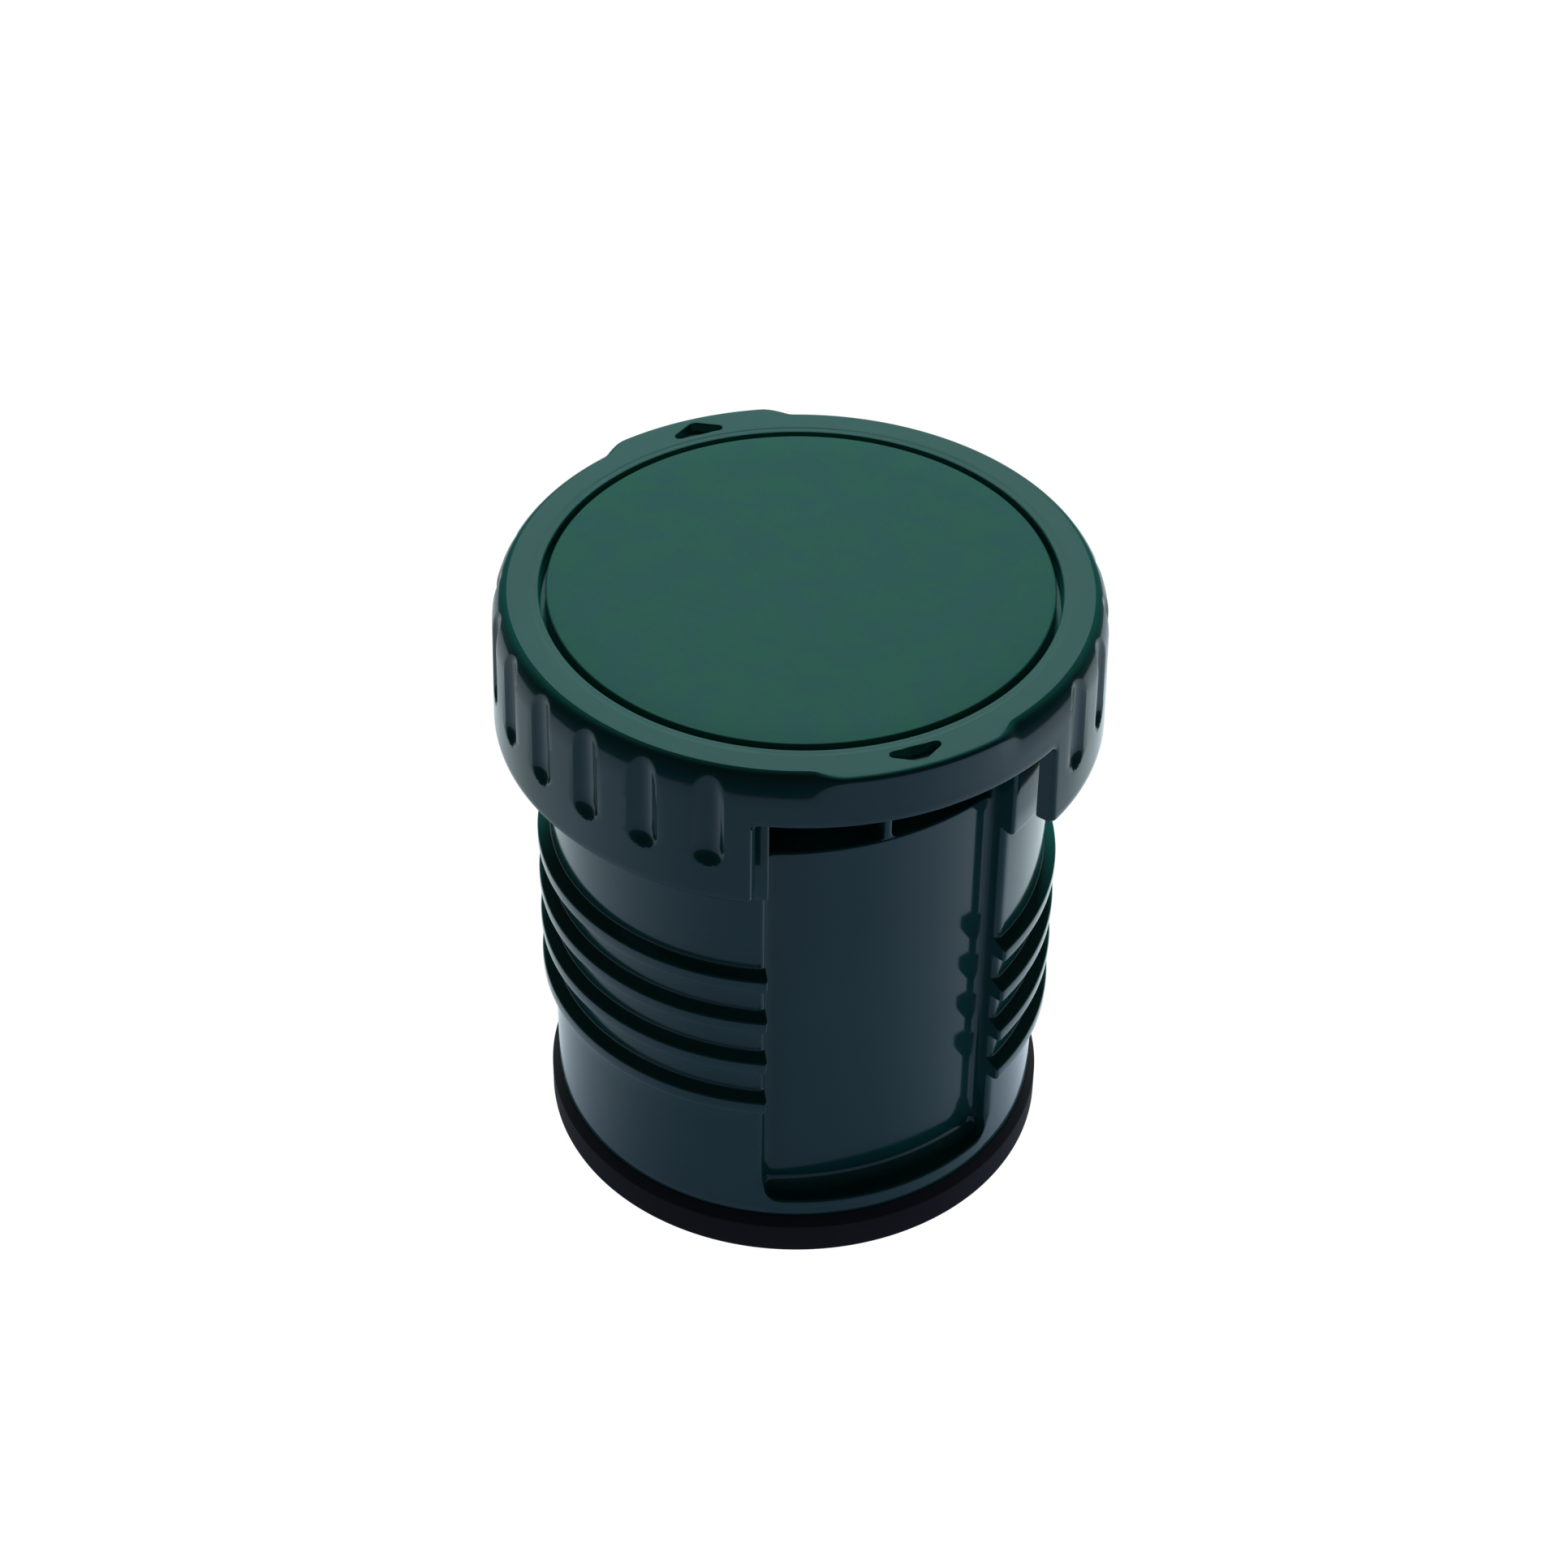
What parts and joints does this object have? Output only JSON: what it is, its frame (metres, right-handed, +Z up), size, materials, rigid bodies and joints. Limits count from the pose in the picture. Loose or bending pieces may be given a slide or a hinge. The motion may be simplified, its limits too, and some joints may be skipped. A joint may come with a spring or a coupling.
{
  "type": "vacuum flask stopper",
  "caption": "Screw-in flask stopper with a fluted grip cap, upright pour channels through the thread, foam core and soft base seal.",
  "frame": {"origin": "middle of the lower face of the base seal, where the stopper stands on a table", "axes": "+Z up along the stopper's axis, towards the grip cap; the pour channels and the arrow marks face -Y and +Y"},
  "size_m": [0.0632, 0.0628, 0.07],
  "materials": {
    "green_plastic": "polished injection-moulded polypropylene",
    "satin_disc": "satin",
    "foam": "rigid closed-cell foam",
    "black_silicone": "smooth"
  },
  "bodies": {
    "root": {"grip_cap": "green_plastic", "top_disc": "satin_disc", "stopper_body": "green_plastic", "insulation_foam": "foam", "base_plate": "green_plastic", "base_seal": "black_silicone"}
  },
  "joints": []
}
